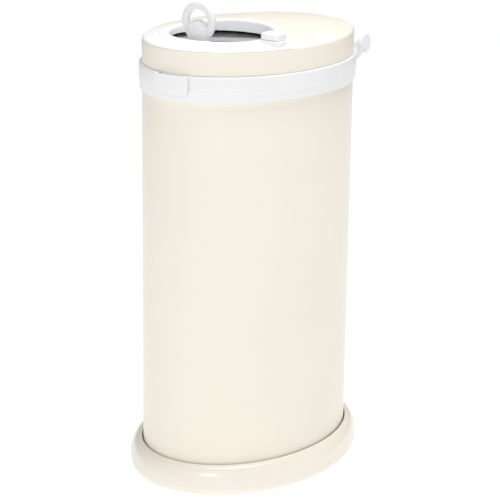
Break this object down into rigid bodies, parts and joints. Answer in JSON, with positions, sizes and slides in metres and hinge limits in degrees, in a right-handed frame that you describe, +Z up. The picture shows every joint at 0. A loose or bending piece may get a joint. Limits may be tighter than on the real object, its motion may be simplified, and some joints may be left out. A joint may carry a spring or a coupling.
{
  "type": "nappy bin",
  "caption": "Oval painted-steel nappy bin on a flared base, with a hinged lid, a sliding steel door under a ring handle, a child lock and a front latch.",
  "frame": {"origin": "on the floor, under the middle of the oval body, on the middle foot pad's face", "axes": "+X to the right seen from the front, +Y towards the hinge at the back, +Z up; the latch tab faces -Y"},
  "size_m": [0.269, 0.364, 0.6126],
  "materials": {
    "body_paint": "semi-gloss cream powder coat",
    "base_plastic": "smooth satin cream moulding",
    "white_plastic": "smooth satin white moulding",
    "inner_plastic": "fine matt white moulding",
    "handle_plastic": "smooth satin light grey moulding",
    "grey_plastic": "fine-textured light grey moulding",
    "door_steel": "polished, finely brushed",
    "fastener_steel": "zinc plated",
    "dark_rubber": "matt black rubber",
    "grey_rubber": "matt grey rubber"
  },
  "bodies": {
    "bin": {"base_skirt": "base_plastic", "base_pan": "inner_plastic", "foot_pads": "dark_rubber", "base_screws": "fastener_steel", "base_seal": "dark_rubber", "body_shell": "body_paint", "rim_ring": "white_plastic", "rim_screws": "fastener_steel", "rim_seal": "grey_rubber", "bag_ring": "inner_plastic", "hinge_pin": "fastener_steel", "hinge_caps": "white_plastic", "latch_pin": "fastener_steel", "latch_spring": "fastener_steel"},
    "lid": {"lid_cover": "body_paint", "lid_frame": "white_plastic", "lid_tray": "inner_plastic", "lid_screws": "fastener_steel", "latch_catch": "white_plastic", "door_seal": "grey_rubber", "door_bumpers": "dark_rubber"},
    "door": {"door_panel": "door_steel", "door_carrier": "inner_plastic", "ring_handle": "handle_plastic", "handle_disc": "grey_plastic", "handle_screws": "fastener_steel"},
    "lock": {"lock_slider": "white_plastic", "lock_retainer": "fastener_steel"},
    "latch": {"latch_lever": "white_plastic"}
  },
  "joints": [
    {"name": "lid_hinge", "type": "hinge", "parent": "bin", "child": "lid", "pos_m": [0, 0.175, 0.529], "axis": [-1, 0, 0], "range_deg": [0, 95]},
    {"name": "door_slide", "type": "slide", "parent": "lid", "child": "door", "axis": [0, 1, 0], "range_m": [0, 0.09]},
    {"name": "lock_slide", "type": "slide", "parent": "lid", "child": "lock", "axis": [-1, 0, 0], "range_m": [0, 0.008]},
    {"name": "latch_tilt", "type": "hinge", "parent": "bin", "child": "latch", "pos_m": [0, -0.1636, 0.514], "axis": [1, 0, 0], "range_deg": [0, 12], "stiffness_Nm_per_rad": 0.15, "springref_deg": -5.73}
  ]
}
